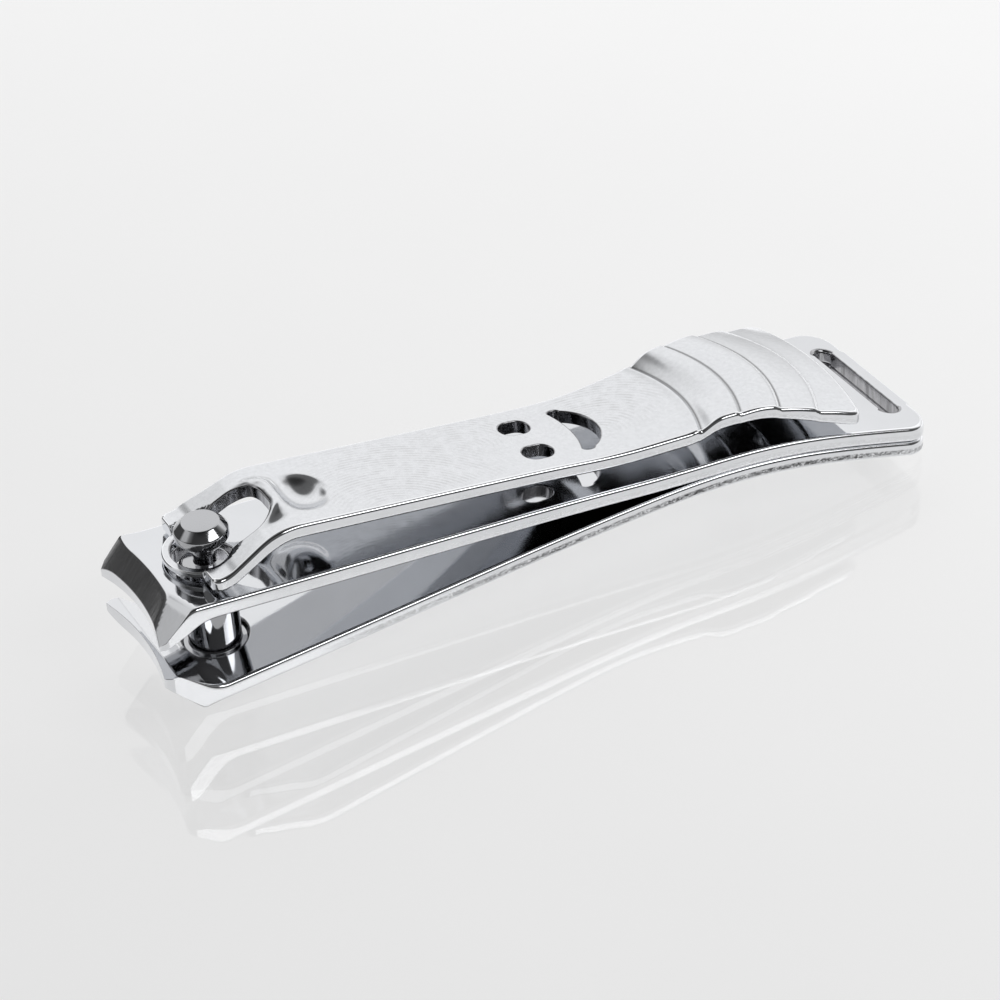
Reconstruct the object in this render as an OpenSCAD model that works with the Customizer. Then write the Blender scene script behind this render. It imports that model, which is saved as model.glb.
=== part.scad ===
// Large nail clipper: two sprung steel arms riveted at the tail, a headed post and a flip-over lever.
// X runs from the jaws (-X) to the tail (+X), Z is up, and the clipper rests on its lower arm.

/* [Arms] */
// Overall length from the cutting corners to the tail
arm_l = 80; // [76:0.5:86]
// Thickness of both arm blanks
arm_t = 1.6; // [1.4:0.1:1.7]
// Half width of the arms just behind the jaws
arm_hw = 6.75; // [6.5:0.05:7.2]
// Climb of the open upper arm towards the jaws, as a slope
open_slope = 0.158; // [0.15:0.001:0.16]
// Clearance between the two arms behind the flexing line
heel_gap = 0.04; // [0.02:0.01:0.08]

/* [Jaws] */
// Height of the lower cutting edge above the table
lower_edge_z = 4.7; // [4.5:0.05:4.9]
// Height of the upper cutting edge above the table, jaws open
upper_edge_z = 8.15; // [8:0.05:8.4]
// Radius of the concave cutting edges, seen from above
edge_r = 24; // [20:0.5:28]
// Half width of the cutting edges, corner to corner
edge_hw = 6.4; // [6:0.1:6.6]
// Height of the ground land above the upper cutting edge
upper_land = 1.05; // [0.8:0.05:1.2]
// Height of the ground land below the lower cutting edge
lower_land = 1.6; // [1.2:0.1:1.8]
// Run of the ground bevel for each millimetre of its height
bevel_run = 0.85; // [0.75:0.05:0.9]

/* [Post] */
// Distance of the post from the cutting corners
post_x = 7.6; // [7.4:0.1:8]
// Radius of the post between the arms
post_r = 2.45; // [2.3:0.05:2.5]
// Radius of the neck that the lever hooks
neck_r = 1; // [0.8:0.1:1.1]
// Height of the top of the head above the table
head_top = 14.9; // [14.7:0.1:15.2]

/* [Lever] */
// Thickness of the lever blank
lever_t = 1.4; // [1.2:0.1:1.4]
// Half width of the lever over the arms
lever_hw = 5.5; // [5.2:0.1:5.6]
// Distance of the lever's free end from the cutting corners
lever_end = 72.9; // [71:0.1:73.5]
// Radius of the lever opening that clears the head of the post
opening_r = 3.1; // [3:0.05:3.15]
// Depth of the four grip grooves
groove_d = 0.35; // [0.2:0.05:0.5]

/* [Tail] */
// Width of the key ring slot
slot_w = 2; // [1.6:0.1:2.2]
// Length of the key ring slot
slot_l = 12.8; // [10:0.2:14]
// Distance of the tail rivet from the cutting corners
rivet_x = 63; // [60:0.5:66]

/* [Hidden] */
$fn = 96;
eps = 0.01;
far = 40;
step = 2;

// Arm curve: a straight ramp from the jaws, then a smooth bend down to the tail.
rest_x = 3;
ramp = 0.068;
tail_slope = -0.22;
bend_from = 48;
bend_to = 74;
flare = 0.00145;
flare_from = 36;
taper = 0.010;
tail_r = 2.8;
corner_angle = 35;
slot_wall = 1.5;

// Stations where the blanks turn towards the cutting edges, and the thickness left under the lower one.
lower_turn_x = 5.4;
upper_turn_x = 4.6;
lip_z = 2.2;

// The upper arm leaves the lower one between these two stations and flexes at flex_x.
part_from = 60;
part_to = 46;
flex_x = 55;

// Smooth change of slope from 0 to 1 between a and b, integrated.
function blend(u) = u * u * u - u * u * u * u / 2;
function unit(x, a, b) = max(0, min(1, (x - a) / (b - a)));
function bend(x, a, b) = (b - a) * blend(unit(x, a, b)) + max(0, x - b);

function arm_bottom(x) = ramp * (x - rest_x) + (tail_slope - ramp) * bend(x, bend_from, bend_to);
function arm_gap(x) = heel_gap + open_slope * bend(-x, -part_from, -part_to);
function upper_bottom(x) = arm_bottom(x) + arm_t + arm_gap(x);
function arm_side(x) = arm_hw + taper * x + flare * pow(max(0, x - flare_from), 2);

// Lever curve: a level nose, a ramp to the knee, a long fall, a grip hump and a turned-down end.
nose_z = 11.12;
nose_slope = 0.42;
fall_slope = 0.155;
hump_slope = 0.36;
end_slope = 0.33;
knee_x = 14.3;
nose_flare = 0.17;
grip_flare = 0.11;
end_flare = 0.1;
function lever_side(x) =
    lever_hw + nose_flare * (bend(-x, -12.2, -10.5) - bend(-x, -9, -7.5))
    + grip_flare * bend(x, 34, 56) + end_flare * bend(x, 60, 66);
function lever_bottom(x) =
    nose_z + nose_slope * bend(x, 6.5, 8.5) - (nose_slope + fall_slope) * bend(x, 11.6, 15.2)
    + fall_slope * bend(x, 42, 52)
    + hump_slope * bend(x, 55, 57.5) - hump_slope * bend(x, 57.5, 60)
    - end_slope * bend(x, 60, 67);

// Nose of the lever: two prongs, joined in front of the neck by a thin ring.
tip_x = 6;
tip_r = 0.7;
ring_r = 3.75;
ring_low = 0.18;
ring_high = 0.83;
ring_play = 0.25;
ring_back = 1.6;
end_bow = 80;
end_corner = 1;

// Post: a foot sunk in the lower arm, a collar, the shaft, the neck and a chamfered head.
foot_r = 3.8;
foot_z = 0.12;
foot_h = 0.75;
collar_r = 2.95;
collar_h = 1.6;
fit_gap = 0.15;
upper_play = 0.5;
shaft_top = 10.55;
neck_top = 11.75;
head_cone_h = 1.55;
head_r = 2.5;
head_chamfer = 0.8;
opening_x = 7.75;

// Fulcrum lip across the knee, the dimple pressed behind it, and the grip grooves.
bridge_r = 1.15;
bridge_l = 6.2;
bridge_sink = 0.45;
dimple_x = 17.6;
dimple_r = 4;
dimple_depth = 0.6;
groove_w = 0.5;
groove_r = 14.5;
groove_first = 57;
groove_pitch = 4.3;
groove_count = 4;

rivet_r = 1.5;
rivet_head_r = 2.5;
rivet_head_h = 0.7;
rivet_play = 0.05;

function stations(a, b) = [for (i = [0 : ceil((b - a) / step)]) min(b, a + i * step)];
function reversed(v) = [for (i = [len(v) - 1 : -1 : 0]) v[i]];

// Places everything with the middle of the overall length over the origin.
module framed() {
    translate([-arm_l / 2, 0, 0])
        children();
}

// Extrudes a side outline, given as [x, z] points, across the full width.
module side_view(points) {
    rotate([90, 0, 0])
        linear_extrude(far, center = true)
            polygon(points);
}

module arm_plan() {
    xs = stations(0, arm_l - tail_r);
    end_hw = arm_side(arm_l - tail_r) - tail_r;
    corner = [for (a = [15 : 15 : 90]) [arm_l - tail_r + tail_r * sin(a), end_hw + tail_r * cos(a)]];
    side = concat([for (x = xs) [x, arm_side(x)]], corner);
    difference() {
        polygon(concat(side, [for (p = reversed(side)) [p[0], -p[1]]]));
        key_slot();
    }
}

module key_slot() {
    slot_x = arm_l - slot_wall - slot_w / 2;
    run = slot_l - slot_w;
    translate([slot_x, 0])
        square([slot_w, run], center = true);
    for (s = [-1, 1])
        translate([slot_x, s * run / 2])
            circle(slot_w / 2);
}

// The concave cutting edge, ground as a land and a cone that leans back from it.
module edge_grind(edge_z, land_h, up) {
    sag = edge_r - sqrt(edge_r * edge_r - edge_hw * edge_hw);
    reach = 12;
    translate([sag - edge_r, 0, edge_z])
        mirror([0, 0, up > 0 ? 0 : 1]) {
            translate([0, 0, -reach])
                cylinder(h = reach + land_h, r = edge_r);
            translate([0, 0, land_h - eps])
                cylinder(h = reach, r1 = edge_r, r2 = edge_r + reach * bevel_run);
        }
}

// Chamfers that trim both corners of a jaw.
module corner_trim() {
    for (s = [-1, 1])
        translate([0, s * edge_hw, 0])
            rotate([0, 0, s * corner_angle])
                translate([-far / 2, s > 0 ? 0 : -far, -far / 2])
                    cube([far, far, far]);
}

module lower_arm_profile() {
    xs = stations(lower_turn_x, arm_l);
    side_view(concat(
        [[0, lip_z], [0, lower_edge_z], [1.6, lower_edge_z - 0.1]],
        [for (x = xs) [x, arm_bottom(x) + arm_t]],
        [for (x = reversed(xs)) [x, arm_bottom(x)]],
        [[rest_x, 0]]));
}

module lower_arm() {
    color("gainsboro")
        framed()
            difference() {
                intersection() {
                    lower_arm_profile();
                    linear_extrude(far)
                        arm_plan();
                }
                edge_grind(lower_edge_z, lower_land, -1);
                corner_trim();
                translate([post_x, 0, -eps])
                    cylinder(h = far, r = collar_r + fit_gap);
                translate([post_x, 0, -1])
                    cylinder(h = 1 + foot_z + foot_h + 0.1, r = foot_r + fit_gap);
                rivet_body(rivet_play);
            }
}

module upper_profile(a, b) {
    xs = stations(a, b);
    side_view(concat(
        [for (x = xs) [x, upper_bottom(x)]],
        [for (x = reversed(xs)) [x, upper_bottom(x) + arm_t]]));
}

module upper_jaw_profile() {
    side_view([
        [0, upper_edge_z],
        [1.5, upper_edge_z + 0.1],
        [upper_turn_x, upper_bottom(upper_turn_x)],
        [upper_turn_x, upper_bottom(upper_turn_x) + arm_t],
        [0, upper_bottom(0) + arm_t]]);
}

module upper_arm() {
    hole_x = post_x - 0.1;
    color("gainsboro")
        framed()
            difference() {
                intersection() {
                    union() {
                        upper_profile(upper_turn_x, flex_x);
                        upper_jaw_profile();
                    }
                    linear_extrude(far)
                        arm_plan();
                }
                edge_grind(upper_edge_z, upper_land, 1);
                corner_trim();
                translate([hole_x, 0, 0])
                    cylinder(h = far, r = post_r + upper_play);
            }
}

module upper_arm_heel() {
    color("gainsboro")
        framed()
            difference() {
                intersection() {
                    upper_profile(flex_x, arm_l);
                    linear_extrude(far)
                        arm_plan();
                }
                rivet_body(rivet_play);
            }
}

// Rivet with a sunk head on each outer face, square to the arms; play enlarges it into its hole.
module rivet_body(play) {
    stack = 2 * arm_t + heel_gap;
    tilt = -atan((arm_bottom(rivet_x + 1) - arm_bottom(rivet_x - 1)) / 2);
    cone = (rivet_head_r - rivet_r) / rivet_head_h;
    head_h = rivet_head_h + (play > 0 ? 1 : 0);
    translate([rivet_x, 0, arm_bottom(rivet_x) + stack / 2])
        rotate([0, tilt, 0]) {
            cylinder(h = stack - 0.1, r = rivet_r + play, center = true);
            for (s = [0, 1])
                mirror([0, 0, s])
                    translate([0, 0, stack / 2 - rivet_head_h - 0.05])
                        cylinder(h = head_h, r1 = rivet_r + play, r2 = rivet_r + play + cone * head_h);
        }
}

module tail_rivet() {
    color("silver")
        framed()
            rivet_body(0);
}

module post() {
    color("silver")
        framed()
            translate([post_x, 0, 0]) {
                translate([0, 0, foot_z])
                    cylinder(h = foot_h, r = foot_r);
                translate([0, 0, foot_z])
                    cylinder(h = collar_h, r = collar_r);
                translate([0, 0, foot_z])
                    cylinder(h = shaft_top - foot_z, r = post_r);
                translate([0, 0, shaft_top - eps])
                    cylinder(h = neck_top - shaft_top + 2 * eps, r = neck_r);
                head();
            }
}

module head() {
    barrel_z = neck_top + head_cone_h;
    translate([0, 0, neck_top])
        cylinder(h = head_cone_h, r1 = neck_r, r2 = head_r);
    translate([0, 0, barrel_z - eps])
        cylinder(h = head_top - head_chamfer - barrel_z + 2 * eps, r = head_r);
    translate([0, 0, head_top - head_chamfer])
        cylinder(h = head_chamfer, r1 = head_r, r2 = head_r - head_chamfer);
}

module lever_plan() {
    straight_x = lever_end - 2.2;
    tip_y = lever_side(tip_x + tip_r) - tip_r;
    end_y = lever_side(straight_x) - end_corner;
    xs = stations(tip_x + tip_r, straight_x);
    side = [for (x = xs) [x, lever_side(x)]];
    bow = [for (i = [-4 : 4]) [lever_end - pow(i / 4 * end_y, 2) / end_bow, -i / 4 * end_y]];
    difference() {
        union() {
            polygon(concat(
                [[tip_x, -tip_y], [tip_x, tip_y]],
                side, bow,
                [for (p = reversed(side)) [p[0], -p[1]]]));
            for (s = [-1, 1])
                translate([tip_x + tip_r, s * tip_y])
                    circle(tip_r);
            translate([post_x, 0])
                circle(ring_r);
        }
        post_opening();
        cut_outs();
    }
}

// Keyhole opening: a round that clears the head, then a window up to the knee.
module post_opening() {
    window_end = 13.9;
    window_hw = 3.1;
    corner = 2.6;
    translate([opening_x, 0])
        circle(opening_r);
    translate([opening_x, -window_hw])
        square([window_end - corner - opening_x, 2 * window_hw]);
    for (s = [-1, 1])
        translate([window_end - corner, s * (window_hw - corner)])
            circle(corner);
    translate([window_end - corner - eps, corner - window_hw])
        square([corner + eps, 2 * (window_hw - corner)]);
}

// Two oval holes and a crescent with rounded ends, which lighten the lever and decorate it.
module cut_outs() {
    oval_x = 40.4;
    oval_y = 2.25;
    oval_r = 1.12;
    oval_run = 0.8;
    crescent_x = 44.15;
    crescent_r = 3.7;
    crescent_hw = 3.3;
    inner_x = 35.6;
    inner_r = 9.6;
    tip_at = 45.22;
    tip_size = [0.6, 0.36];
    for (s = [-1, 1])
        translate([oval_x, s * oval_y]) {
            for (e = [-1, 1])
                translate([e * oval_run / 2, 0])
                    circle(oval_r);
            square([oval_run, 2 * oval_r], center = true);
        }
    difference() {
        intersection() {
            translate([crescent_x, 0])
                circle(crescent_r);
            translate([crescent_x, -crescent_hw])
                square([crescent_r, 2 * crescent_hw]);
        }
        translate([inner_x, 0])
            circle(inner_r);
    }
    for (s = [-1, 1])
        translate([tip_at, s * crescent_hw])
            scale(tip_size)
                circle(1);
}

// A band that follows the lever, from below to above its bottom face.
module lever_band(below, above) {
    xs = stations(post_x - ring_r, lever_end);
    side_view(concat(
        [for (x = xs) [x, lever_bottom(x) + below]],
        [for (x = reversed(xs)) [x, lever_bottom(x) + above]]));
}

module grip_groove(x) {
    intersection() {
        translate([x - groove_r, 0, 0])
            difference() {
                cylinder(h = far, r = groove_r + groove_w / 2);
                translate([0, 0, -1])
                    cylinder(h = far + 2, r = groove_r - groove_w / 2);
            }
        lever_band(lever_t - groove_d, lever_t + 1);
        translate([x - 6, -far / 2, 0])
            cube([far, far, far]);
    }
}

// Thins the plate to the ring that lies round the neck.
module ring_relief() {
    reach = ring_r + ring_play;
    intersection() {
        translate([post_x, 0, 0])
            cylinder(h = far, r = reach);
        translate([post_x - reach, -reach, 0])
            cube([reach + ring_back, 2 * reach, far]);
        lever_band(ring_high, lever_t + 2);
    }
    intersection() {
        translate([post_x, 0, 0])
            cylinder(h = far, r = reach);
        translate([post_x - reach, -reach, 0])
            cube([reach - (post_x - tip_x), 2 * reach, far]);
        lever_band(-1, ring_low);
    }
}

module lever() {
    color("gainsboro")
        framed()
            difference() {
                union() {
                    intersection() {
                        lever_band(0, lever_t);
                        linear_extrude(far)
                            lever_plan();
                    }
                    translate([knee_x, 0, lever_bottom(knee_x) + lever_t - bridge_sink])
                        rotate([90, 0, 0])
                            cylinder(h = bridge_l, r = bridge_r, center = true);
                }
                ring_relief();
                for (i = [0 : groove_count - 1])
                    grip_groove(groove_first + i * groove_pitch);
                translate([dimple_x, 0, lever_bottom(dimple_x) + lever_t + dimple_r - dimple_depth])
                    sphere(r = dimple_r);
            }
}

lower_arm();
upper_arm();
upper_arm_heel();
tail_rivet();
post();
lever();
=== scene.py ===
"""Looks of the nail clipper: smooth pressed-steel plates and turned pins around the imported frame."""

import math

import bpy
import numpy as np
from mathutils import Matrix, Vector
from mathutils.geometry import delaunay_2d_cdt


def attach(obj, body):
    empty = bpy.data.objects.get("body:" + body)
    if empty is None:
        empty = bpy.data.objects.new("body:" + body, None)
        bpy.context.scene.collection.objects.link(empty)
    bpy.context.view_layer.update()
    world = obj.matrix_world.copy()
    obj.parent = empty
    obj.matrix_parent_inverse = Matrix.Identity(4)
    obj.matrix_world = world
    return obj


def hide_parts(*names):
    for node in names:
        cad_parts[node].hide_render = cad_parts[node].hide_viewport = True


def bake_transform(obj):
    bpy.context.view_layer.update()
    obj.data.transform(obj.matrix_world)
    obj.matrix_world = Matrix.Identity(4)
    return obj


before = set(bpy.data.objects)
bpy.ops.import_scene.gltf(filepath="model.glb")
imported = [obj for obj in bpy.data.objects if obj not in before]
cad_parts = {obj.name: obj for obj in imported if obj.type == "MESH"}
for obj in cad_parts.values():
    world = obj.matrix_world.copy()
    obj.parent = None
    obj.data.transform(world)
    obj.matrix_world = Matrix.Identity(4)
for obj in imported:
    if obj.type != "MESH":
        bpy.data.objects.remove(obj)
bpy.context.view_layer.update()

# Shapes are drawn in millimetres, with x = 0 at the cutting corners, and moved into the frame at the end.
MM = 0.001
ARM_L = 80.0
SHIFT_X = -ARM_L / 2

# ---------------------------------------------------------------- smooth curves


def bend(x, a, b):
    """A slope that grows smoothly from 0 at a to 1 at b, integrated."""
    u = np.clip((x - a) / (b - a), 0, 1)
    return (b - a) * (u**3 - u**4 / 2) + np.maximum(0, x - b)


def smooth_step(x, a, b):
    u = np.clip((x - a) / (b - a), 0, 1)
    return u * u * (3 - 2 * u)


def smooth_min(a, b, k):
    h = np.clip(0.5 + 0.5 * (b - a) / k, 0, 1)
    return b * (1 - h) + a * h - k * h * (1 - h)


def smooth_max(a, b, k):
    return -smooth_min(-a, -b, k)


# ---------------------------------------------------------------- the arms: height fields over the plan

ARM_T = 1.6
ARM_HW = 6.75
HEEL_GAP = 0.04
RAMP = 0.068
REST_X = 3
TAIL_TURN = 0.288
OPEN_SLOPE = 0.158
TAIL_R = 2.8
POST_X = 7.6
RIVET_X = 63.0

EDGE_R = 24.0
EDGE_HW = 6.4
UPPER_LAND = 1.05
LOWER_LAND = 1.6
BEVEL_RUN = 0.85
LOWER_EDGE_Z = 4.7
UPPER_EDGE_Z = 8.15
LIP_X = 1.3
SAG = EDGE_R - math.sqrt(EDGE_R**2 - EDGE_HW**2)
AXIS_X = SAG - EDGE_R

FOOT_SEAT_R = 3.95
FOOT_SEAT_Z = 0.97
SEAT_WALL = 0.03
RIVET_R = 1.5
RIVET_HEAD_R = 2.34
RIVET_HEAD_H = 0.7
RIVET_SEAT_R = 2.56
RIVET_HOLE_R = 1.72
RIVET_LEAN = 0.14
RIVET_CONE = RIVET_HEAD_H / 0.9


def arm_bottom(x):
    return RAMP * (x - REST_X) - TAIL_TURN * bend(x, 48, 74)


def upper_bottom(x):
    return arm_bottom(x) + ARM_T + HEEL_GAP + OPEN_SLOPE * bend(-x, -60, -46)


def arm_side(x):
    return ARM_HW + 0.010 * x + 0.00145 * np.maximum(0, x - 36) ** 2


def cone_rise(x, y):
    """Height of the ground bevel over its land, at a place in plan."""
    return (np.hypot(x - AXIS_X, y) - EDGE_R) / BEVEL_RUN


def corner_drop(y):
    """How much lower the bevel is ground towards the corners of the jaws."""
    return 0.11 * np.maximum(0, np.abs(y) - 4) ** 2


def upper_facet_z(x, y):
    """The flat that is stoned on the near corner of the upper jaw, and far above everything elsewhere."""
    return np.where(y < 0, 10.2 + 0.88 * x + 0.30 * y, 99)


def upper_bevel_z(x, y):
    return UPPER_EDGE_Z + UPPER_LAND + cone_rise(x, y) - corner_drop(y)


def upper_plate_z(x, y):
    return upper_bottom(x) + ARM_T


def foot_seat_z(x, y):
    """Ceiling of the round seat under the lower arm that takes the foot of the post."""
    share = (FOOT_SEAT_R + SEAT_WALL - np.hypot(x - POST_X, y)) / (2 * SEAT_WALL)
    return FOOT_SEAT_Z * np.clip(share, 0, 1)


def rivet_seat(x, y, at):
    """Depth of the conical seat for a rivet head round a place on the centre line."""
    depth = (RIVET_SEAT_R - np.hypot(x - at, y)) * RIVET_CONE
    return np.clip(depth, 0, (RIVET_SEAT_R - RIVET_HOLE_R) * RIVET_CONE)


def upper_top_z(x, y):
    ground = smooth_min(upper_bevel_z(x, y), upper_facet_z(x, y), 0.15)
    softness = 0.10 + 0.5 * smooth_step(-y, -1, 6)
    sheet = smooth_min(upper_plate_z(x, y), ground, softness)
    return sheet - rivet_seat(x, y, RIVET_X + RIVET_LEAN)


def upper_bottom_z(x, y):
    lip = UPPER_EDGE_Z + 0.05 + 0.36 * (x - LIP_X)
    return smooth_min(upper_bottom(x), lip, 0.5)


def lower_top_z(x, y):
    lip = LOWER_EDGE_Z - 0.02 - 0.78 * np.maximum(x - LIP_X, 0) - 0.06 * x
    return smooth_max(arm_bottom(x) + ARM_T, lip, 1.1)


def lower_bottom_z(x, y):
    bevel = LOWER_EDGE_Z - LOWER_LAND - cone_rise(x, y) + corner_drop(y)
    sheet = np.maximum(smooth_max(arm_bottom(x), bevel, 0.25), 0)
    return np.maximum(sheet + rivet_seat(x, y, RIVET_X - RIVET_LEAN), foot_seat_z(x, y))


# ---------------------------------------------------------------- the lever: height fields over the plan

LEVER_T = 1.4
LEVER_HW = 5.5
LEVER_END = 72.9
NOSE_Z = 11.12
NOSE_SLOPE = 0.42
KNEE_TURN = 0.575
FALL_SLOPE = 0.155
HUMP_SLOPE = 0.36
END_SLOPE = 0.33
TIP_X = 6.0
TIP_R = 0.7
NOSE_LIFT = 0.08
RING_R = 3.75
RING_LOW = 0.18
RING_HIGH = 0.83

WINDOW_END = 13.9
WINDOW_CORNER = 2.6
LIP_H = 0.66
DIMPLE_X = 17.2
DIMPLE_Y = -0.35
DIMPLE_RX = 2.55
DIMPLE_RY = 2.9
DIMPLE_DEPTH = 1.1

GRIP_X = 50
GRIP_R = 14.5
GROOVES = [57.0 + 4.3 * i for i in range(4)]
GROOVE_DEPTHS = [0.36, 0.24, 0.24, 0.24]


def lever_side(x):
    nose = 0.17 * (bend(-x, -12.2, -10.5) - bend(-x, -9, -7.5))
    return LEVER_HW + nose + 0.11 * bend(x, 34, 56) + 0.10 * bend(x, 60, 66)


def grip_x(x, y):
    """Distance along the lever, curved with the grip's arcs towards the free end."""
    return x + smooth_step(x, GRIP_X, 55) * y * y / (2 * GRIP_R)


def lever_line(x):
    nose = NOSE_Z + NOSE_SLOPE * bend(x, 6.5, 8.5)
    fall = KNEE_TURN * bend(x, 11.6, 15.2) - FALL_SLOPE * bend(x, 42, 52)
    hump = HUMP_SLOPE * (bend(x, 55, 57.5) - bend(x, 57.5, 60))
    return nose - fall + hump - END_SLOPE * bend(x, 60, 67)


def curved_line(x, y):
    """The lever's line, following the grip's arcs at the free end."""
    return lever_line(np.where(x > GRIP_X, grip_x(x, y), x))


def bridge(x, y):
    """The raised fulcrum across the end of the opening, and the pressed dimple behind it."""
    rho = np.hypot(x - WINDOW_END + WINDOW_CORNER, np.maximum(0, np.abs(y) - 0.5))
    lip = np.exp(-(((rho - WINDOW_CORNER - 0.75) / 0.95) ** 2))
    ridge = LIP_H * lip * smooth_step(x, 11.8, 13.6) * (1 - smooth_step(np.abs(y), 1.8, 4.0))
    bowl = 1 - ((x - DIMPLE_X) / DIMPLE_RX) ** 2 - ((y - DIMPLE_Y) / DIMPLE_RY) ** 2
    hollow = smooth_max(bowl, 0.0, 0.3)
    behind = smooth_step(rho, WINDOW_CORNER + 0.8, WINDOW_CORNER + 1.5)
    return ridge - DIMPLE_DEPTH * hollow * behind


def scallops(x, y):
    """The grip: four arc grooves, each the foot of a soft shingle that rises away from it."""
    along = grip_x(x, y)
    z = np.zeros_like(along)
    for at, depth in zip(GROOVES, GROOVE_DEPTHS):
        before = np.where(along < at, np.exp(-((along - at) / 0.30) ** 2), 0)
        after = np.where(along >= at, np.exp(-(np.maximum(along - at, 0) / 1.9) ** 1.5), 0)
        z -= depth * (before + after)
    return z


# Painted shade: near 1 on each grip groove, where the lever's colour is darkened.
def groove_shade_mask(x, y):
    along = grip_x(x, y)
    return np.max([np.exp(-((along - at) / 0.13) ** 2) for at in GROOVES], axis=0)


def ring_share(x, y):
    """0 on the thin ring round the neck of the post, 1 on the full plate."""
    rho = np.hypot(x - POST_X, y)
    return np.maximum(smooth_step(rho, 3.70, 4.10), smooth_step(x, 8.4, 10.2))


def lever_bottom_z(x, y):
    ring_lift = RING_LOW * (1 - ring_share(x, y)) * (1 - smooth_step(x, 5.8, 6.4))
    nose_lift = NOSE_LIFT * (1 - smooth_step(x, 8.5, 10.5))
    return curved_line(x, y) + bridge(x, y) + 0.3 * scallops(x, y) + ring_lift + nose_lift


def lever_top_z(x, y):
    slope = (lever_line(x + 0.05) - lever_line(x - 0.05)) / 0.1
    thick = RING_HIGH + (LEVER_T * np.sqrt(1 + slope**2) - RING_HIGH) * ring_share(x, y)
    return curved_line(x, y) + thick + bridge(x, y) + scallops(x, y)


# ---------------------------------------------------------------- outlines in plan


def spaced(a, b, step):
    count = max(1, int(round(abs(b - a) / step)))
    return np.linspace(a, b, count + 1)


def arc(cx, cy, r, start, end, step=0.12):
    """Points on an arc, with its angles in degrees."""
    count = max(3, int(abs(math.radians(end - start)) * r / step))
    angle = np.radians(np.linspace(start, end, count + 1))
    return np.stack([cx + r * np.cos(angle), cy + r * np.sin(angle)], 1)


def circle(cx, r):
    """A closed loop on the centre line."""
    return arc(cx, 0, r, 0, 360)[:-1]


def segment(a, b, step=0.3):
    count = max(1, int(math.dist(a, b) / step))
    share = np.linspace(0, 1, count + 1)[:, None]
    return np.array(a)[None] * (1 - share) + np.array(b)[None] * share


def joined(*parts):
    """One closed loop of the parts end to end, without repeated points."""
    points = np.concatenate(parts)
    keep = np.hypot(*(points - np.roll(points, 1, 0)).T) > 1e-4
    return points[keep]


def clockwise(loop):
    x, y = loop.T
    area = np.sum(x * np.roll(y, -1) - np.roll(x, -1) * y)
    return loop if area < 0 else loop[::-1]


def outward(loop):
    """The direction away from the metal at each corner of a loop, and how much it stretches an offset."""
    along = np.roll(loop, -1, 0) - loop
    along /= np.hypot(*along.T)[:, None]
    normal = np.stack([along[:, 1], -along[:, 0]], 1)
    away = normal + np.roll(normal, 1, 0)
    away /= np.hypot(*away.T)[:, None]
    stretch = 1 / np.clip(np.sum(away * normal, 1), 0.7, 1)
    return away, stretch


BATCH = 4000


def inside(points, loops):
    """Even-odd test of points against closed loops."""
    hit = np.zeros(len(points), bool)
    for loop in loops:
        a, b = loop, np.roll(loop, -1, 0)
        for start in range(0, len(points), BATCH):
            part = slice(start, start + BATCH)
            px, py = points[part, 0, None], points[part, 1, None]
            crosses = (a[:, 1] > py) != (b[:, 1] > py)
            with np.errstate(divide="ignore", invalid="ignore"):
                at = a[:, 0] + (py - a[:, 1]) * (b[:, 0] - a[:, 0]) / (b[:, 1] - a[:, 1])
            hit[part] ^= (np.sum(crosses & (px < at), 1) % 2).astype(bool)
    return hit


def far_from(points, loop, gap):
    """Points that keep a gap from a loop's corners."""
    clear = np.ones(len(points), bool)
    for start in range(0, len(points), BATCH):
        part = slice(start, start + BATCH)
        apart = points[part, None] - loop[None]
        clear[part] = (apart**2).sum(2).min(1) > gap * gap
    return clear


# ---------------------------------------------------------------- plates and turned pieces

ROUND_STEPS = 4


def field_normal(field, x, y, sign):
    e = 0.01
    slope_x = (field(x + e, y) - field(x - e, y)) / (2 * e)
    slope_y = (field(x, y + e) - field(x, y - e)) / (2 * e)
    normal = np.stack([-slope_x, -slope_y, np.ones_like(slope_x)], 1) * sign
    return normal / np.linalg.norm(normal, axis=1)[:, None]


def triangulated(loops, grids, creases):
    """Triangles inside closed loops, with grids of inner points and with edges along the creases.

    Gives the points in plan, the triangles, and where each point of the loops has gone."""
    rim = np.concatenate(loops)
    points = rim
    edges, start = [], 0
    for loop in loops:
        count = len(loop)
        edges += [(start + i, start + (i + 1) % count) for i in range(count)]
        start += count
    for step, x0, x1, y_limit in grids:
        across, up = np.meshgrid(spaced(x0, x1, step), spaced(-y_limit, y_limit, step))
        inner = np.stack([across.ravel(), up.ravel()], 1)
        inner = inner[inside(inner, loops)]
        inner = inner[far_from(inner, rim, 0.55 * min(step, 0.35))]
        points = np.concatenate([points, inner])
    for crease in creases:
        kept = inside(crease, loops) & far_from(crease, rim, 0.05)
        index = np.cumsum(kept) - 1 + len(points)
        spans = [i for i in range(len(crease) - 1) if kept[i] and kept[i + 1]]
        edges += [(int(index[i]), int(index[i + 1])) for i in spans]
        points = np.concatenate([points, crease[kept]])
    found = delaunay_2d_cdt([Vector(point) for point in points], edges, [], 0, 1e-5, True)
    flat = np.array([(v.x, v.y) for v in found[0]])
    place = {i: k for k, ids in enumerate(found[3]) for i in ids}
    triangles = np.array([face for face in found[2] if len(face) == 3])
    triangles = triangles[inside(flat[triangles].mean(1), loops)]
    return flat, triangles, place


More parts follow.
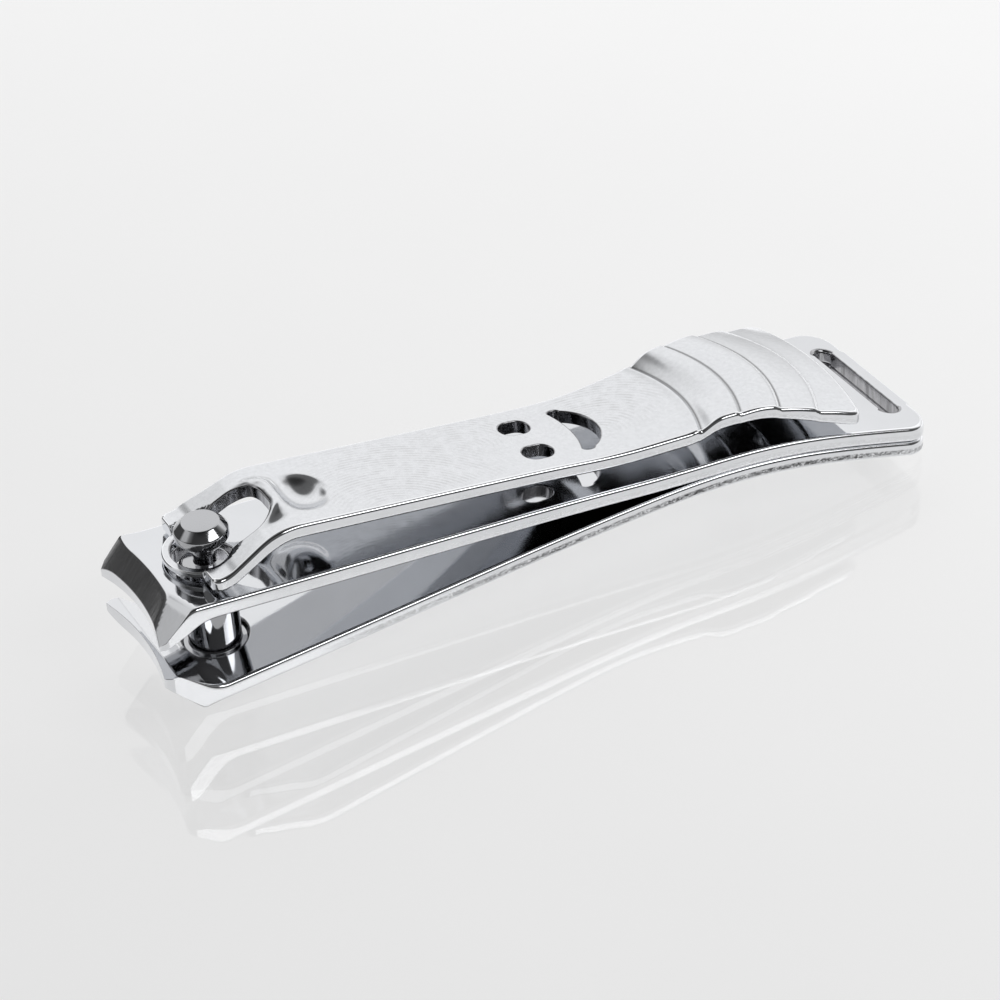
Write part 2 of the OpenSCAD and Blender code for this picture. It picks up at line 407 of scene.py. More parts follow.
def plate(name, outline, holes, top, bottom, radius, grids, creases=()):
    """A pressed sheet: its outline and holes in plan, a height field for each face, and rounded edges.

    radius(x, y) is the edge rounding, and each of grids is (step, x0, x1, y_limit) of inner points.
    The attribute edge_depth runs from 0 on the top face to 1 on the bottom face, across the edge."""
    loops = [outline] + [clockwise(hole) for hole in holes]
    rims, cap_loops = [], []
    for loop in loops:
        away, stretch = outward(loop)
        x, y = loop.T
        rounding = np.minimum(radius(x, y), 0.45 * np.maximum(top(x, y) - bottom(x, y), 0.02))
        rims.append((loop, away, stretch, rounding))
        cap_loops.append(loop - away * (rounding * stretch)[:, None])
    flat, triangles, place = triangulated(cap_loops, grids, creases)
    count = len(flat)
    x, y = flat.T
    places = [np.stack([x, y, top(x, y)], 1), np.stack([x, y, bottom(x, y)], 1)]
    normals = [field_normal(top, x, y, 1), field_normal(bottom, x, y, -1)]
    depth = [np.zeros(count), np.ones(count)]
    faces = [tuple(t) for t in triangles] + [tuple(count + i for i in t[::-1]) for t in triangles]
    cap_faces = len(faces)
    made, base = 2 * count, 0
    turns = [90 * k / ROUND_STEPS for k in range(1, ROUND_STEPS + 1)]
    for loop, away, stretch, rounding in rims:
        size = len(loop)
        first = [place[base + i] for i in range(size)]
        base += size
        rows = [first]
        side = np.concatenate([away, np.zeros((size, 1))], 1)
        for field, sign, steps in ((top, 1, turns), (bottom, -1, turns[::-1])):
            for turn in steps:
                s, c = math.sin(math.radians(turn)), math.cos(math.radians(turn))
                flat_at = loop - away * (rounding * (1 - s) * stretch)[:, None]
                x, y = flat_at.T
                z = field(x, y) - sign * rounding * (1 - c)
                normal = c * field_normal(field, x, y, sign) + s * side
                places.append(np.stack([x, y, z], 1))
                normals.append(normal / np.linalg.norm(normal, axis=1)[:, None])
                depth.append(np.full(size, 0.2 * (1 - c) if sign > 0 else 1 - 0.2 * (1 - c)))
                rows.append(list(range(made, made + size)))
                made += size
        rows.append([count + i for i in first])
        for a, b in zip(rows, rows[1:]):
            faces += [(a[i], b[i], b[(i + 1) % size], a[(i + 1) % size]) for i in range(size)]
    places = np.concatenate(places)
    places[:, 0] += SHIFT_X
    obj = mesh_object(name, places * MM, faces, np.concatenate(normals), np.concatenate(depth))
    obj["cap_faces"] = cap_faces
    obj["rim_faces"] = cap_faces + (2 * ROUND_STEPS + 1) * len(outline)
    return obj


def mesh_object(name, places, faces, normals, depth=None):
    """An object in the scene from places in metres, leaving out any that no face uses."""
    used = np.zeros(len(places), bool)
    for face in faces:
        used[list(face)] = True
    index = np.cumsum(used) - 1
    faces = [tuple(int(index[i]) for i in face) for face in faces]
    mesh = bpy.data.meshes.new(name)
    mesh.from_pydata(places[used].tolist(), [], faces)
    mesh.polygons.foreach_set("use_smooth", [True] * len(mesh.polygons))
    mesh.normals_split_custom_set_from_vertices(normals[used].tolist())
    if depth is not None:
        layer = mesh.attributes.new("edge_depth", "FLOAT", "POINT")
        layer.data.foreach_set("value", depth[used])
    mesh.update()
    obj = bpy.data.objects.new(name, mesh)
    bpy.context.scene.collection.objects.link(obj)
    return obj


def rounded_profile(profile):
    """The outline of a turned piece with its corners rounded; profile is (radius, height, rounding)."""
    points = []
    for i, (r, z, rounding) in enumerate(profile):
        corner = np.array([r, z])
        if i in (0, len(profile) - 1) or rounding == 0:
            points.append(corner)
            continue
        back = np.array(profile[i - 1][:2]) - corner
        ahead = np.array(profile[i + 1][:2]) - corner
        cut_back = min(rounding, 0.45 * np.linalg.norm(back))
        cut_ahead = min(rounding, 0.45 * np.linalg.norm(ahead))
        a = corner + back / np.linalg.norm(back) * cut_back
        b = corner + ahead / np.linalg.norm(ahead) * cut_ahead
        for t in np.linspace(0, 1, 7):
            points.append((1 - t) ** 2 * a + 2 * t * (1 - t) * corner + t * t * b)
    return np.array(points)


def lathe(name, profile, at, axis=Vector((0, 0, 1)), segments=160):
    """A turned piece round an axis through a place; its profile starts and ends on that axis."""
    points = rounded_profile(profile)
    along = np.diff(points, axis=0)
    along /= np.maximum(np.linalg.norm(along, axis=1), 1e-9)[:, None]
    wall = np.stack([along[:, 1], -along[:, 0]], 1)
    wall = np.concatenate([wall[:1], wall[:-1] + wall[1:], wall[-1:]])
    wall /= np.linalg.norm(wall, axis=1)[:, None]
    angle = np.linspace(0, 2 * math.pi, segments, endpoint=False)
    flat = np.zeros_like(angle)
    places, normals, faces = [], [], []
    for (r, z), (out, up) in zip(points[1:-1], wall[1:-1]):
        places.append(np.stack([r * np.cos(angle), r * np.sin(angle), flat + z], 1))
        normals.append(np.stack([out * np.cos(angle), out * np.sin(angle), flat + up], 1))
    last = (len(places) - 1) * segments
    foot = last + segments
    crown = foot + 1
    places.append([(0, 0, points[0, 1]), (0, 0, points[-1, 1])])
    normals.append([(0, 0, -1), (0, 0, 1)])
    for i in range(segments):
        j = (i + 1) % segments
        faces.append((foot, j, i))
        for a in range(0, last, segments):
            b = a + segments
            faces.append((a + i, a + j, b + j, b + i))
        faces.append((last + i, last + j, crown))
    turn = np.array(Vector((0, 0, 1)).rotation_difference(axis).to_matrix())
    places = np.concatenate(places) @ turn.T + np.array(at)
    normals = np.concatenate(normals) @ turn.T
    places[:, 0] += SHIFT_X
    return mesh_object(name, places * MM, faces, normals)


# ---------------------------------------------------------------- material helpers

# Sockets of the colour form of the Mix node.
MIX_A = 6
MIX_B = 7
MIX_RESULT = 2


def grey(value):
    """A colour with its alpha, from a grey level or from red, green and blue."""
    return (value, value, value, 1) if isinstance(value, (int, float)) else (*value, 1)


def darker(tint, share):
    return tuple(c * share for c in tint)


def node(tree, kind, **values):
    """A new node with its inputs or its settings given by name."""
    new = tree.nodes.new(kind)
    for key, value in values.items():
        if key in new.inputs:
            new.inputs[key].default_value = value
        else:
            setattr(new, key, value)
    return new


def new_material(name):
    mat = bpy.data.materials.new(name)
    mat.use_nodes = True
    tree = mat.node_tree
    tree.nodes.clear()
    out = tree.nodes.new("ShaderNodeOutputMaterial")
    shader = tree.nodes.new("ShaderNodeBsdfPrincipled")
    tree.links.new(shader.outputs[0], out.inputs[0])
    coords = tree.nodes.new("ShaderNodeTexCoord").outputs["Object"]
    return mat, tree, shader, coords


def new_metal(name):
    mat, tree, shader, coords = new_material(name)
    shader.inputs["Metallic"].default_value = 1
    return mat, tree, shader, coords


def ramp(tree, source, stops):
    new = tree.nodes.new("ShaderNodeValToRGB")
    while len(new.color_ramp.elements) > 1:
        new.color_ramp.elements.remove(new.color_ramp.elements[-1])
    new.color_ramp.elements[0].position = stops[0][0]
    new.color_ramp.elements[0].color = grey(stops[0][1])
    for at, value in stops[1:]:
        new.color_ramp.elements.new(at).color = grey(value)
    tree.links.new(source, new.inputs["Fac"])
    return new.outputs["Color"]


def noise(tree, coords, scale, detail=3, stretch=(1, 1, 1), rough=0.5):
    mapping = node(tree, "ShaderNodeMapping", Scale=stretch)
    tree.links.new(coords, mapping.inputs["Vector"])
    new = node(tree, "ShaderNodeTexNoise", Scale=scale, Detail=detail, Roughness=rough)
    tree.links.new(mapping.outputs[0], new.inputs["Vector"])
    return new.outputs["Fac"]


def bump(tree, height, strength, distance, normal=None):
    new = node(tree, "ShaderNodeBump", Strength=strength, Distance=distance)
    tree.links.new(height, new.inputs["Height"])
    if normal is not None:
        tree.links.new(normal, new.inputs["Normal"])
    return new.outputs["Normal"]


def attribute(tree, name):
    return node(tree, "ShaderNodeAttribute", attribute_name=name).outputs["Fac"]


def combined(tree, operation, a, b):
    new = node(tree, "ShaderNodeMath", operation=operation)
    tree.links.new(a, new.inputs[0])
    tree.links.new(b, new.inputs[1])
    return new.outputs[0]


def times(tree, a, b):
    return combined(tree, "MULTIPLY", a, b)


def scaled(tree, source, factor):
    """A multiply-and-add node that scales source; what it adds is linked or set afterwards."""
    new = node(tree, "ShaderNodeMath", operation="MULTIPLY_ADD")
    tree.links.new(source, new.inputs[0])
    new.inputs[1].default_value = factor
    return new


def part_of(tree, coords, axis):
    split = tree.nodes.new("ShaderNodeSeparateXYZ")
    tree.links.new(coords, split.inputs[0])
    return split.outputs[axis]


def blended(tree, share, a, colour):
    """From socket a at share 0 to a fixed colour at share 1."""
    new = node(tree, "ShaderNodeMix", data_type="RGBA")
    tree.links.new(share, new.inputs["Factor"])
    tree.links.new(a, new.inputs[MIX_A])
    new.inputs[MIX_B].default_value = colour
    return new.outputs[MIX_RESULT]


# ---------------------------------------------------------------- materials


def wiping_hairs(tree, coords):
    """Hairline marks that run along the clipper."""
    return noise(tree, coords, 1200, 3, stretch=(0.12, 3, 3))


def plated_steel(name, tint, rough, smudge):
    """Polished nickel plate: a faint orange-peel, soft smudges and hairline wiping marks."""
    mat, tree, shader, coords = new_metal(name)
    cloud = noise(tree, coords, 140, 4)
    colour = ramp(tree, cloud, [(0.3, darker(tint, 0.95)), (0.7, tint)])
    tree.links.new(colour, shader.inputs["Base Color"])
    patches = noise(tree, coords, 260, 5, rough=0.62)
    dullness = ramp(tree, patches, [(0.38, rough), (0.72, rough + smudge)])
    tree.links.new(dullness, shader.inputs["Roughness"])
    peel = bump(tree, noise(tree, coords, 500, 2), 0.02, 0.0001)
    tree.links.new(bump(tree, wiping_hairs(tree, coords), 0.010, 0.0001, peel), shader.inputs["Normal"])
    return mat


def finger_mark(tree, coords, x, y, reach):
    """Arcs of a finger mark at a place: 1 on a ridge, fading out at the mark's edge.

    The centre of the arcs lies near that edge."""
    at = node(tree, "ShaderNodeMapping", Location=(-x, -1.25 * y, 0), Scale=(1, 1.25, 0))
    tree.links.new(coords, at.inputs["Vector"])
    rings = node(tree, "ShaderNodeTexWave", wave_type="RINGS", rings_direction="Z", Scale=640,
                 Distortion=9, Detail=2)
    rings.inputs["Detail Scale"].default_value = 0.09
    whorl = node(tree, "ShaderNodeVectorMath", operation="ADD")
    whorl.inputs[1].default_value = (0.35 * reach, 0.75 * reach, 0)
    tree.links.new(at.outputs[0], whorl.inputs[0])
    tree.links.new(whorl.outputs[0], rings.inputs["Vector"])
    length = node(tree, "ShaderNodeVectorMath", operation="LENGTH")
    tree.links.new(at.outputs[0], length.inputs[0])
    inside_mark = ramp(tree, length.outputs["Value"], [(reach * 0.3, 1.0), (reach, 0.0)])
    return times(tree, rings.outputs["Fac"], inside_mark)


# Place along and across the lever and reach of each finger mark, in metres.
FINGER_MARKS = ((-0.0125, -0.0005, 0.011), (0.010, 0.003, 0.008), (-0.004, 0.004, 0.006))


def touched_steel(name, tint):
    """The lever: softly worn plate with finger marks on top, and painted shade that darkens the grip
    grooves.
    """
    mat, tree, shader, coords = new_metal(name)
    fine = noise(tree, coords, 2400, 4, rough=0.7)
    colour = ramp(tree, fine, [(0.36, darker(tint, 0.93)), (0.62, tint)])
    marks = None
    for x, y, reach in FINGER_MARKS:
        mark = finger_mark(tree, coords, x, y, reach)
        marks = mark if marks is None else combined(tree, "MAXIMUM", marks, mark)
    broken = ramp(tree, noise(tree, coords, 900, 3), [(0.38, 0.0), (0.62, 1.0)])
    marks = times(tree, marks, broken)
    colour = blended(tree, ramp(tree, marks, [(0.0, 0.0), (1.0, 0.42)]), colour, grey(0.42))
    # Painted shade: the colour darkens to near-black along the grip grooves.
    grooves = ramp(tree, attribute(tree, "groove"), [(0.1, 0.0), (1.0, 0.85)])
    colour = blended(tree, grooves, colour, grey(0.10))
    tree.links.new(colour, shader.inputs["Base Color"])
    smudge = ramp(tree, noise(tree, coords, 320, 5, rough=0.6), [(0.35, 0.10), (0.70, 0.19)])
    rough = scaled(tree, marks, 0.10)
    tree.links.new(smudge, rough.inputs[2])
    tree.links.new(rough.outputs[0], shader.inputs["Roughness"])
    hairs = bump(tree, wiping_hairs(tree, coords), 0.02, 0.0001)
    tree.links.new(bump(tree, marks, 0.05, 0.00004, hairs), shader.inputs["Normal"])
    return mat


def ground_steel(name):
    """The ground jaw bevel: fine grinding lines across the edge, darker and duller than the plate."""
    mat, tree, shader, coords = new_metal(name)
    lines = noise(tree, coords, 2600, 4, stretch=(0.15, 2.2, 0.15))
    colour = ramp(tree, lines, [(0.3, (0.44, 0.44, 0.445)), (0.7, (0.54, 0.54, 0.55))])
    tree.links.new(colour, shader.inputs["Base Color"])
    tree.links.new(ramp(tree, lines, [(0.3, 0.16), (0.7, 0.24)]), shader.inputs["Roughness"])
    tree.links.new(bump(tree, lines, 0.04, 0.0001), shader.inputs["Normal"])
    return mat


def sheared_steel(name, tear):
    """The blanked edge of a strip: burnished above, with a grainy torn band below away from the jaws."""
    mat, tree, shader, coords = new_metal(name)
    depth = attribute(tree, "edge_depth")
    band = ramp(tree, depth, [(0.38, 0.0), (0.48, 1.0), (0.78, 1.0), (0.86, 0.0)])
    grain = noise(tree, coords, 4200, 5, stretch=(0.6, 1, 1), rough=0.8)
    torn = ramp(tree, grain, [(0.38, 0.0), (0.56, 1.0)])
    patchy = ramp(tree, noise(tree, coords, 60, 2, stretch=(1, 0.2, 0.2)), [(0.40, 0.55), (0.58, 1.0)])
    along = node(tree, "ShaderNodeMapRange")
    along.inputs["From Min"].default_value = -0.026
    along.inputs["From Max"].default_value = -0.006
    tree.links.new(part_of(tree, coords, "X"), along.inputs["Value"])
    mask = times(tree, times(tree, times(tree, band, torn), patchy), along.outputs["Result"])
    mask = ramp(tree, mask, [(0.0, 0.0), (1.0, tear)])
    clean = ramp(tree, noise(tree, coords, 140, 4), [(0.3, (0.80, 0.81, 0.83)), (0.7, (0.87, 0.88, 0.90))])
    tree.links.new(blended(tree, mask, clean, (0.09, 0.09, 0.092, 1)), shader.inputs["Base Color"])
    tree.links.new(ramp(tree, mask, [(0.0, 0.07), (1.0, 0.42)]), shader.inputs["Roughness"])
    tree.links.new(bump(tree, mask, 0.35, 0.00006), shader.inputs["Normal"])
    return mat


def punched_steel(name):
    """The walls of punched holes: dull, with marks that run through the sheet."""
    mat, tree, shader, coords = new_metal(name)
    drag = noise(tree, coords, 1500, 4, stretch=(1, 1, 0.12), rough=0.65)
    colour = ramp(tree, drag, [(0.35, (0.30, 0.30, 0.31)), (0.65, (0.54, 0.54, 0.56))])
    tree.links.new(colour, shader.inputs["Base Color"])
    tree.links.new(ramp(tree, drag, [(0.35, 0.22), (0.65, 0.10)]), shader.inputs["Roughness"])
    tree.links.new(bump(tree, drag, 0.2, 0.00005), shader.inputs["Normal"])
    return mat


ARM_STEEL = plated_steel("arm_plate", (0.67, 0.68, 0.70), 0.045, 0.04)
LEVER_STEEL = touched_steel("lever_plate", (0.69, 0.70, 0.72))
PIN_STEEL = plated_steel("pin_plate", (0.46, 0.465, 0.48), 0.06, 0.05)
GROUND = ground_steel("ground_bevel")
SHEARED = sheared_steel("sheared_edge", 1.0)
TRIMMED = sheared_steel("trimmed_edge", 0.12)
PUNCHED = punched_steel("punched_wall")

# Order of the materials on a plate.
FACE_SLOT, EDGE_SLOT, GROUND_SLOT, HOLE_SLOT = range(4)


def dress(obj, face_material, edge_material, ground=None):
    """Gives the faces, the outer edge, the ground places and the hole walls of a plate their materials."""
    mesh = obj.data
    for material in (face_material, edge_material, GROUND, PUNCHED):
        mesh.materials.append(material)
    cap, rim = int(obj["cap_faces"]), int(obj["rim_faces"])
    for face in mesh.polygons:
        at = face.center / MM
        if face.index >= rim:
            face.material_index = HOLE_SLOT
        elif face.index >= cap:
            face.material_index = EDGE_SLOT
        if ground and ground(at.x - SHIFT_X, at.y, at.z, face.normal):
            face.material_index = GROUND_SLOT
    del obj["cap_faces"], obj["rim_faces"]


# ---------------------------------------------------------------- the arms


def key_slot():
    half_w, run, cx = 1.0, 5.4, ARM_L - 2.5
    return joined(arc(cx, run, half_w, 0, 180), arc(cx, -run, half_w, 180, 360))


def arm_outline():
    corner_x = 0.55
    tail_x = ARM_L - TAIL_R
    tail_y = arm_side(tail_x) - TAIL_R
    front_y = spaced(EDGE_HW, -EDGE_HW, 0.12)
    front = np.stack([AXIS_X + np.sqrt(EDGE_R**2 - front_y**2), front_y], 1)
    xs = spaced(corner_x, tail_x, 0.3)
    near = np.stack([xs, -arm_side(xs)], 1)
    return joined(
        front[-1:], near,
        arc(tail_x, -tail_y, TAIL_R, -90, 0),
        segment((ARM_L, -tail_y), (ARM_L, tail_y)),
        arc(tail_x, tail_y, TAIL_R, 0, 90),
        near[::-1] * [1, -1],
        front[:-1])


def crossing(low, high, is_past):
    """Between low and high, all along a line: the place where is_past turns true."""
    for _ in range(30):
        middle = (low + high) / 2
        past = is_past(middle)
        low = np.where(past, low, middle)
        high = np.where(past, middle, high)
    return middle


def ground_z(x, y):
    return np.minimum(upper_bevel_z(x, y), upper_facet_z(x, y))


def bevel_line(offset):
    """Where the ground of the upper jaw meets the plated face, moved by a small offset in plan."""
    y = spaced(-6.4, 6.4, 0.2)
    x = crossing(np.zeros_like(y), np.full_like(y, 5.0), lambda x: ground_z(x, y) > upper_plate_z(x, y))
    return np.stack([x + offset, y], 1)


def facet_line(offset):
    """Where the stoned flat meets the bevel, on the near corner of the upper jaw."""
    x = spaced(0.3, 3.4, 0.15)
    y = crossing(np.full_like(x, -6.4), np.full_like(x, -1.0),
                 lambda y: upper_facet_z(x, y) >= upper_bevel_z(x, y))
    keep = ground_z(x, y) < upper_plate_z(x, y) - 0.08
    return np.stack([x, y + offset], 1)[keep]


def seat_lines(cx, r, offsets):
    """Closed lines along the edge of a round seat, each at an offset from it."""
    loops = [circle(cx, r + offset) for offset in offsets]
    return [np.concatenate([loop, loop[:1]]) for loop in loops]


def arm_radius(x, y):
    side = smooth_step(x, 1.5, 4.5)
    hole = (np.abs(y) < 5.6) & (x > 2)
    return np.where(hole, 0.15, 0.05 + 0.37 * side)


def lower_ground(x, y, z, normal):
    """The bevel under the lower jaw."""
    return x < 4.6 and normal.z < -0.2 and z > 0.15 and math.hypot(x - POST_X, y) > 4


def upper_ground(x, y, z, normal):
    """The bevel on the upper jaw, without the stoned flat on its near corner."""
    return x < 4.2 and 0.3 < normal.z < 0.86 and normal.y > -0.05 - 0.035 * max(0, y)


def build_arms():
    grids = [(0.25, 0.1, 9, 8), (0.6, 9.2, ARM_L, 11)]
    low_at, high_at = RIVET_X - RIVET_LEAN, RIVET_X + RIVET_LEAN

    holes = [circle(POST_X, 3.1), key_slot(), circle(low_at, RIVET_HOLE_R)]
    creases = seat_lines(POST_X, FOOT_SEAT_R, (-0.04, 0.0, 0.04))
    creases += seat_lines(low_at, RIVET_SEAT_R, (-0.02, 0.02))
    lower = plate("lower_jaw_arm", arm_outline(), holes, lower_top_z, lower_bottom_z, arm_radius,
                  grids, creases)
    dress(lower, ARM_STEEL, SHEARED, lower_ground)

    holes = [circle(POST_X - 0.1, 2.95), key_slot(), circle(high_at, RIVET_HOLE_R)]
    creases = [bevel_line(-0.05), bevel_line(0.05), facet_line(-0.04), facet_line(0.04)]
    creases += seat_lines(high_at, RIVET_SEAT_R, (-0.02, 0.02))
    upper = plate("upper_jaw_arm", arm_outline(), holes, upper_top_z, upper_bottom_z, arm_radius,
                  grids, creases)
    dress(upper, ARM_STEEL, TRIMMED, upper_ground)

    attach(lower, "frame")
    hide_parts("lower_arm")
    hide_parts("upper_arm", "upper_arm_heel")
    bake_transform(upper)


# ---------------------------------------------------------------- the lever


def lever_outline():
    nose_x = TIP_X + TIP_R
    half_w = float(lever_side(np.array(nose_x)))
    straight_x = LEVER_END - 2.2
    xs = spaced(nose_x, straight_x, 0.3)
    near = np.stack([xs, -lever_side(xs)], 1)
    corner_r = 1.0
    end_y = float(lever_side(np.array(straight_x))) - corner_r
    corner_x = LEVER_END - end_y**2 / 80 - corner_r
    bow_y = spaced(-end_y, end_y, 0.3)
    bow = np.stack([LEVER_END - bow_y**2 / 80, bow_y], 1)
    step = math.degrees(math.acos((POST_X - TIP_X) / RING_R))
    return joined(
        arc(POST_X, 0, RING_R, 180 - step, 180 + step),
        segment((TIP_X, -3.5), (TIP_X, TIP_R - half_w)),
        arc(nose_x, TIP_R - half_w, TIP_R, 180, 270),
        near[1:],
        arc(corner_x, -end_y, corner_r, -85, -14),
        bow,
        arc(corner_x, end_y, corner_r, 14, 85),
        near[:0:-1] * [1, -1],
        arc(nose_x, half_w - TIP_R, TIP_R, 90, 180),
        segment((TIP_X, half_w - TIP_R), (TIP_X, 3.5)))


def keyhole():
    """The opening round the post, with a waist where it meets the window up to the knee."""
    cx, r, waist_y = 7.75, 3.1, 2.75
    half_w, end, corner = 3.15, WINDOW_END, WINDOW_CORNER
    waist = math.degrees(math.asin(waist_y / r))
    waist_x = cx + r * math.cos(math.radians(waist))
    start_x = waist_x + 0.8
    return joined(
        arc(cx, 0, r, waist, 360 - waist),
        segment((waist_x, -waist_y), (start_x, 0.1 - half_w), 0.12),
        segment((start_x + 0.3, -half_w), (end - corner, -half_w)),
        arc(end - corner, corner - half_w, corner, -90, 0),
        segment((end, corner - half_w), (end, half_w - corner)),
        arc(end - corner, half_w - corner, corner, 0, 90),
        segment((end - corner, half_w), (start_x + 0.3, half_w)),
        segment((start_x, half_w - 0.1), (waist_x, waist_y), 0.12))


def oval(cx, cy):
    r, half_run = 1.12, 0.4
    return joined(arc(cx + half_run, cy, r, -90, 90), arc(cx - half_run, cy, r, 90, 270))


def crescent():
    """A wide crescent: an outer and an inner arc, joined by two flattened round ends."""
    half_w = 3.3
    outer_x, outer_r = 44.15, 3.7
    inner_x, inner_r = 35.6, 9.6
    outer_turn = math.degrees(math.asin(half_w / outer_r))
    inner_turn = math.degrees(math.asin(half_w / inner_r))
    outer = arc(outer_x, 0, outer_r, -outer_turn, outer_turn)
    inner = arc(inner_x, 0, inner_r, inner_turn, -inner_turn)
    middle = (outer[-1, 0] + inner[0, 0]) / 2
    reach = (outer[-1, 0] - inner[0, 0]) / 2
    end = arc(0, 0, reach, 0, 180) * [1, 0.6] + [middle, half_w]
    return joined(outer, end[1:-1], inner, end[1:-1][::-1] * [1, -1])


def lever_radius(x, y):
    rim = (np.abs(y) > lever_side(x) - 0.7) | (x > LEVER_END - 2)
    return np.where(rim, 0.40, 0.16)


def groove_lines():
    """Lines along each grip groove and close on both sides of it."""
    y = spaced(-9.2, 9.2, 0.3)
    lines = []
    for at in GROOVES:
        for offset in (-0.26, -0.13, 0.0, 0.13, 0.26):
            lines.append(np.stack([at + offset - y * y / (2 * GRIP_R), y], 1))
    return lines


def build_lever():
    holes = [keyhole(), oval(40.4, 2.25), oval(40.4, -2.25), crescent()]
    grids = [(0.16, 3.9, 21, 6.2), (0.4, 21.2, 52, 8), (0.2, 52.1, 73, 9.6)]
    lever = plate("lever_plate", lever_outline(), holes, lever_top_z, lever_bottom_z, lever_radius,
                  grids, groove_lines())
    place = np.array([v.co for v in lever.data.vertices]) / MM
    # Painted shade: the groove attribute darkens the lever's colour along the grip grooves.
    groove = groove_shade_mask(place[:, 0] - SHIFT_X, place[:, 1])
    layer = lever.data.attributes.new("groove", "FLOAT", "POINT")
    layer.data.foreach_set("value", groove * (place[:, 2] > 9))
    dress(lever, LEVER_STEEL, TRIMMED)
    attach(lever, "lever")
    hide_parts("lever")


# ---------------------------------------------------------------- the turned pieces


def build_post():
    foot = [(0.0, 0.12, 0), (3.78, 0.12, 0.12), (3.78, 0.86, 0.12)]
    collar = [(2.95, 0.87, 0.05), (2.95, 1.70, 0.12)]
    shaft = [(2.45, 1.72, 0.08), (2.45, 10.2, 0.15), (2.1, 10.55, 0.12)]
    neck = [(1.0, 10.55, 0.12), (1.0, 11.75, 0.3)]
    head = [(2.48, 13.3, 0.18), (2.48, 14.1, 0.14), (1.7, 14.88, 0.10), (0.0, 14.9, 0)]
    post = lathe("turned_post", foot + collar + shaft + neck + head, (POST_X, 0, 0))
    post.data.materials.append(PIN_STEEL)
    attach(post, "post")
    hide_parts("post")


def build_rivet():
    stack = 2 * ARM_T + HEEL_GAP
    slope = float(arm_bottom(np.array(RIVET_X + 1)) - arm_bottom(np.array(RIVET_X - 1))) / 2
    end = stack / 2 - 0.06
    waist = end - RIVET_HEAD_H
    profile = [(0, -end, 0), (RIVET_HEAD_R, -end, 0.06), (RIVET_R, -waist, 0.05),
               (RIVET_R, waist, 0.05), (RIVET_HEAD_R, end, 0.06), (0, end, 0)]
    middle = (RIVET_X, 0, float(arm_bottom(np.array(RIVET_X))) + stack / 2)
    rivet = lathe("turned_rivet", profile, middle, Vector((-slope, 0, 1)).normalized(), 96)
    rivet.data.materials.append(PIN_STEEL)
    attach(rivet, "frame")
    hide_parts("tail_rivet")


# ---------------------------------------------------------------- floor, light and camera

FLOOR_SIZE = 6
BOARD_Z = -0.0026
SHEET_Z = -0.0002

# Brightness of the studio against each part of the direction, all three multiplied together.
WORLD_STOPS = {
    "X": [(-1.0, 0.45), (-0.7, 0.75), (-0.2, 1.0), (1.0, 1.0)],
    "Y": [(-1.0, 0.08), (-0.25, 0.08), (-0.05, 0.35), (0.10, 1.0), (1.0, 1.0)],
    "Z": [(0.0, 0.60), (0.20, 0.85), (0.35, 1.0), (0.62, 1.0), (0.80, 0.82), (0.86, 0.15), (1.0, 0.12)],
}
DARK_SPOT = (-0.58, 0.79, 0.20)
WORLD_STRENGTH = 1.15


def plane(name, z):
    h = FLOOR_SIZE / 2
    corners = np.array([(-h, -h, z), (h, -h, z), (h, h, z), (-h, h, z)])
    return mesh_object(name, corners, [(0, 1, 2, 3)], np.array([(0.0, 0.0, 1.0)] * 4))


def pale_board():
    """A glossy pale board that glows with painted light, a little brighter towards the right."""
    mat, tree, shader, coords = new_material("pale_board")
    cloud = noise(tree, coords, 25, 3)
    tree.links.new(ramp(tree, cloud, [(0.3, 0.24), (0.7, 0.26)]), shader.inputs["Base Color"])
    shader.inputs["Roughness"].default_value = 0.02
    shader.inputs["Specular IOR Level"].default_value = 0.5
    across = node(tree, "ShaderNodeMapping", Location=(0.5, 0, 0), Rotation=(0, 0, math.radians(-11)),
                  Scale=(2.5, 2.5, 1))
    tree.links.new(coords, across.inputs["Vector"])
    # Painted light: the board's emission, brighter towards the right.
    painted_glow = ramp(tree, part_of(tree, across.outputs[0], "X"), [(0.1, 0.56), (0.9, 0.74)])
    tree.links.new(painted_glow, shader.inputs["Emission Color"])
    shader.inputs["Emission Strength"].default_value = 1
    return mat


def clear_sheet():
    """A film of gloss over nothing."""
    mat = bpy.data.materials.new("clear_sheet")
    mat.use_nodes = True
    tree = mat.node_tree
    tree.nodes.clear()
    out = tree.nodes.new("ShaderNodeOutputMaterial")
    mix = tree.nodes.new("ShaderNodeMixShader")
    mix.inputs["Fac"].default_value = 0.035
    clear = tree.nodes.new("ShaderNodeBsdfTransparent")
    shine = node(tree, "ShaderNodeBsdfGlossy", Roughness=0.015)
    tree.links.new(clear.outputs[0], mix.inputs[1])
    tree.links.new(shine.outputs[0], mix.inputs[2])
    tree.links.new(mix.outputs[0], out.inputs[0])
    return mat


def build_floor():
    """A pale board under a thin clear sheet, which gives the faint double reflection."""
    board = plane("floor_board", BOARD_Z)
    board.data.materials.append(pale_board())
    sheet = plane("clear_sheet", SHEET_Z)
    sheet.data.materials.append(clear_sheet())


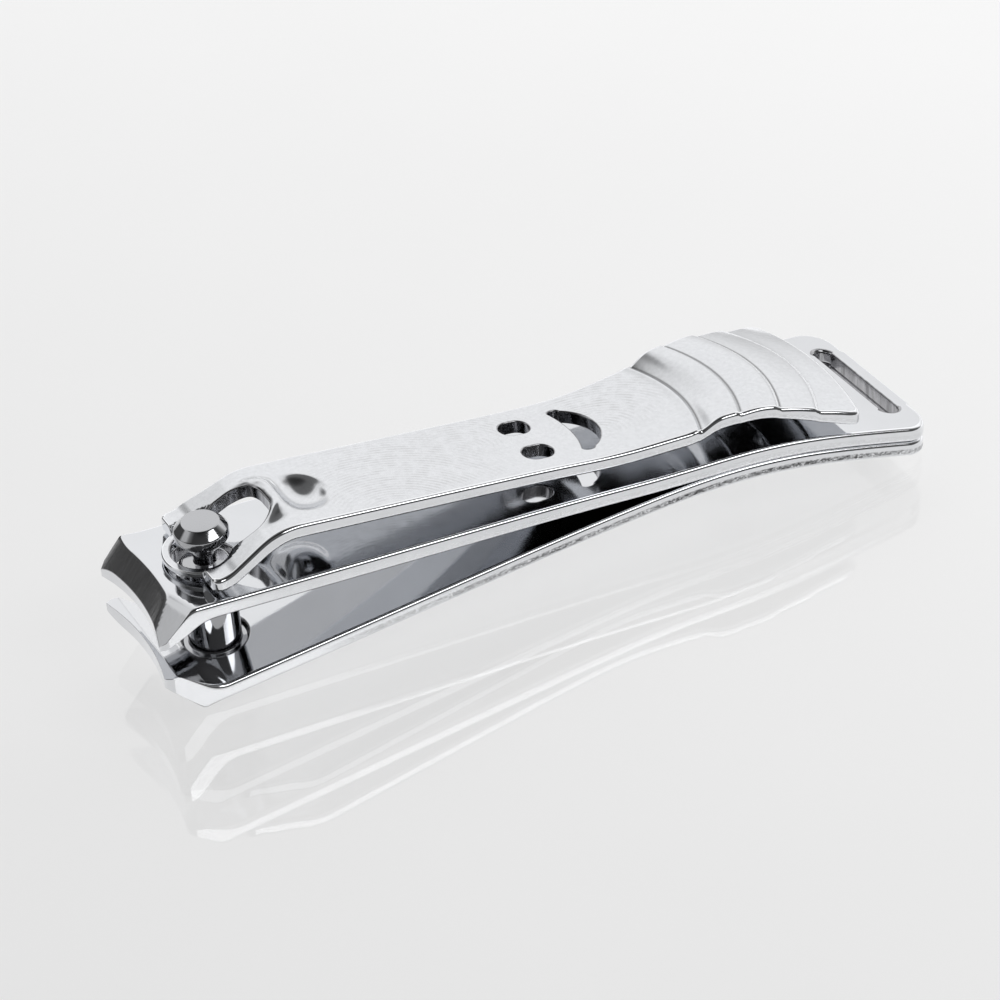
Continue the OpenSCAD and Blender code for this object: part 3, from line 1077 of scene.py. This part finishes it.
def build_world():
    """A soft studio: bright beyond the clipper, dark overhead and on the viewer's side.

    One dark patch lies low on the far left, where the ground bevel mirrors it."""
    world = bpy.data.worlds.new("studio")
    bpy.context.scene.world = world
    world.use_nodes = True
    tree = world.node_tree
    tree.nodes.clear()
    out = tree.nodes.new("ShaderNodeOutputWorld")
    back = tree.nodes.new("ShaderNodeBackground")
    tree.links.new(back.outputs[0], out.inputs[0])
    coords = tree.nodes.new("ShaderNodeTexCoord").outputs["Generated"]
    level = None
    for axis, stops in WORLD_STOPS.items():
        half = scaled(tree, part_of(tree, coords, axis), 0.5)
        half.inputs[2].default_value = 0.5
        shade = ramp(tree, half.outputs[0], [(0.5 + 0.5 * at, value) for at, value in stops])
        if level is not None:
            both = node(tree, "ShaderNodeMix", data_type="RGBA", blend_type="MULTIPLY")
            both.inputs["Factor"].default_value = 1
            tree.links.new(level, both.inputs[MIX_A])
            tree.links.new(shade, both.inputs[MIX_B])
            shade = both.outputs[MIX_RESULT]
        level = shade
    toward = node(tree, "ShaderNodeVectorMath", operation="DOT_PRODUCT")
    toward.inputs[1].default_value = Vector(DARK_SPOT).normalized()
    tree.links.new(coords, toward.inputs[0])
    spot = ramp(tree, toward.outputs["Value"], [(0.84, 0.0), (0.91, 0.93)])
    tree.links.new(blended(tree, spot, level, grey(0.03)), back.inputs["Color"])
    back.inputs["Strength"].default_value = WORLD_STRENGTH


def area_light(name, at, target, size, power):
    data = bpy.data.lights.new(name, "AREA")
    data.shape = "RECTANGLE"
    data.size, data.size_y = size
    data.energy = power
    light = bpy.data.objects.new(name, data)
    bpy.context.scene.collection.objects.link(light)
    light.location = at
    light.rotation_euler = (Vector(target) - Vector(at)).to_track_quat("-Z", "Y").to_euler()


def build_camera():
    """The view from the left of the clipper's near side, from above, and slightly rolled."""
    azimuth, elevation, roll = math.radians(-27.22), math.radians(36.24), math.radians(3.58)
    back = Vector((math.sin(azimuth) * math.cos(elevation), -math.cos(azimuth) * math.cos(elevation),
                   math.sin(elevation)))
    place = Vector((-0.10613, -0.20117, 0.17093))
    right = Vector((math.cos(azimuth), math.sin(azimuth), 0))
    up = back.cross(right)
    x_axis = right * math.cos(roll) - up * math.sin(roll)
    y_axis = right * math.sin(roll) + up * math.cos(roll)
    camera = bpy.data.objects.new("camera", bpy.data.cameras.new("camera"))
    camera.data.lens = 108.06
    camera.data.sensor_width = 36
    camera.data.clip_start = 0.01
    bpy.context.scene.collection.objects.link(camera)
    turn = Matrix((x_axis, y_axis, back)).transposed()
    camera.matrix_world = Matrix.Translation(place) @ turn.to_4x4()
    bpy.context.scene.camera = camera


build_arms()
build_lever()
build_post()
build_rivet()
build_floor()
build_world()
area_light("key_front", (0.25, -0.40, 0.48), (0, 0, 0), (0.42, 0.18), 0.8)
build_camera()
bpy.context.scene.view_settings.view_transform = "Standard"
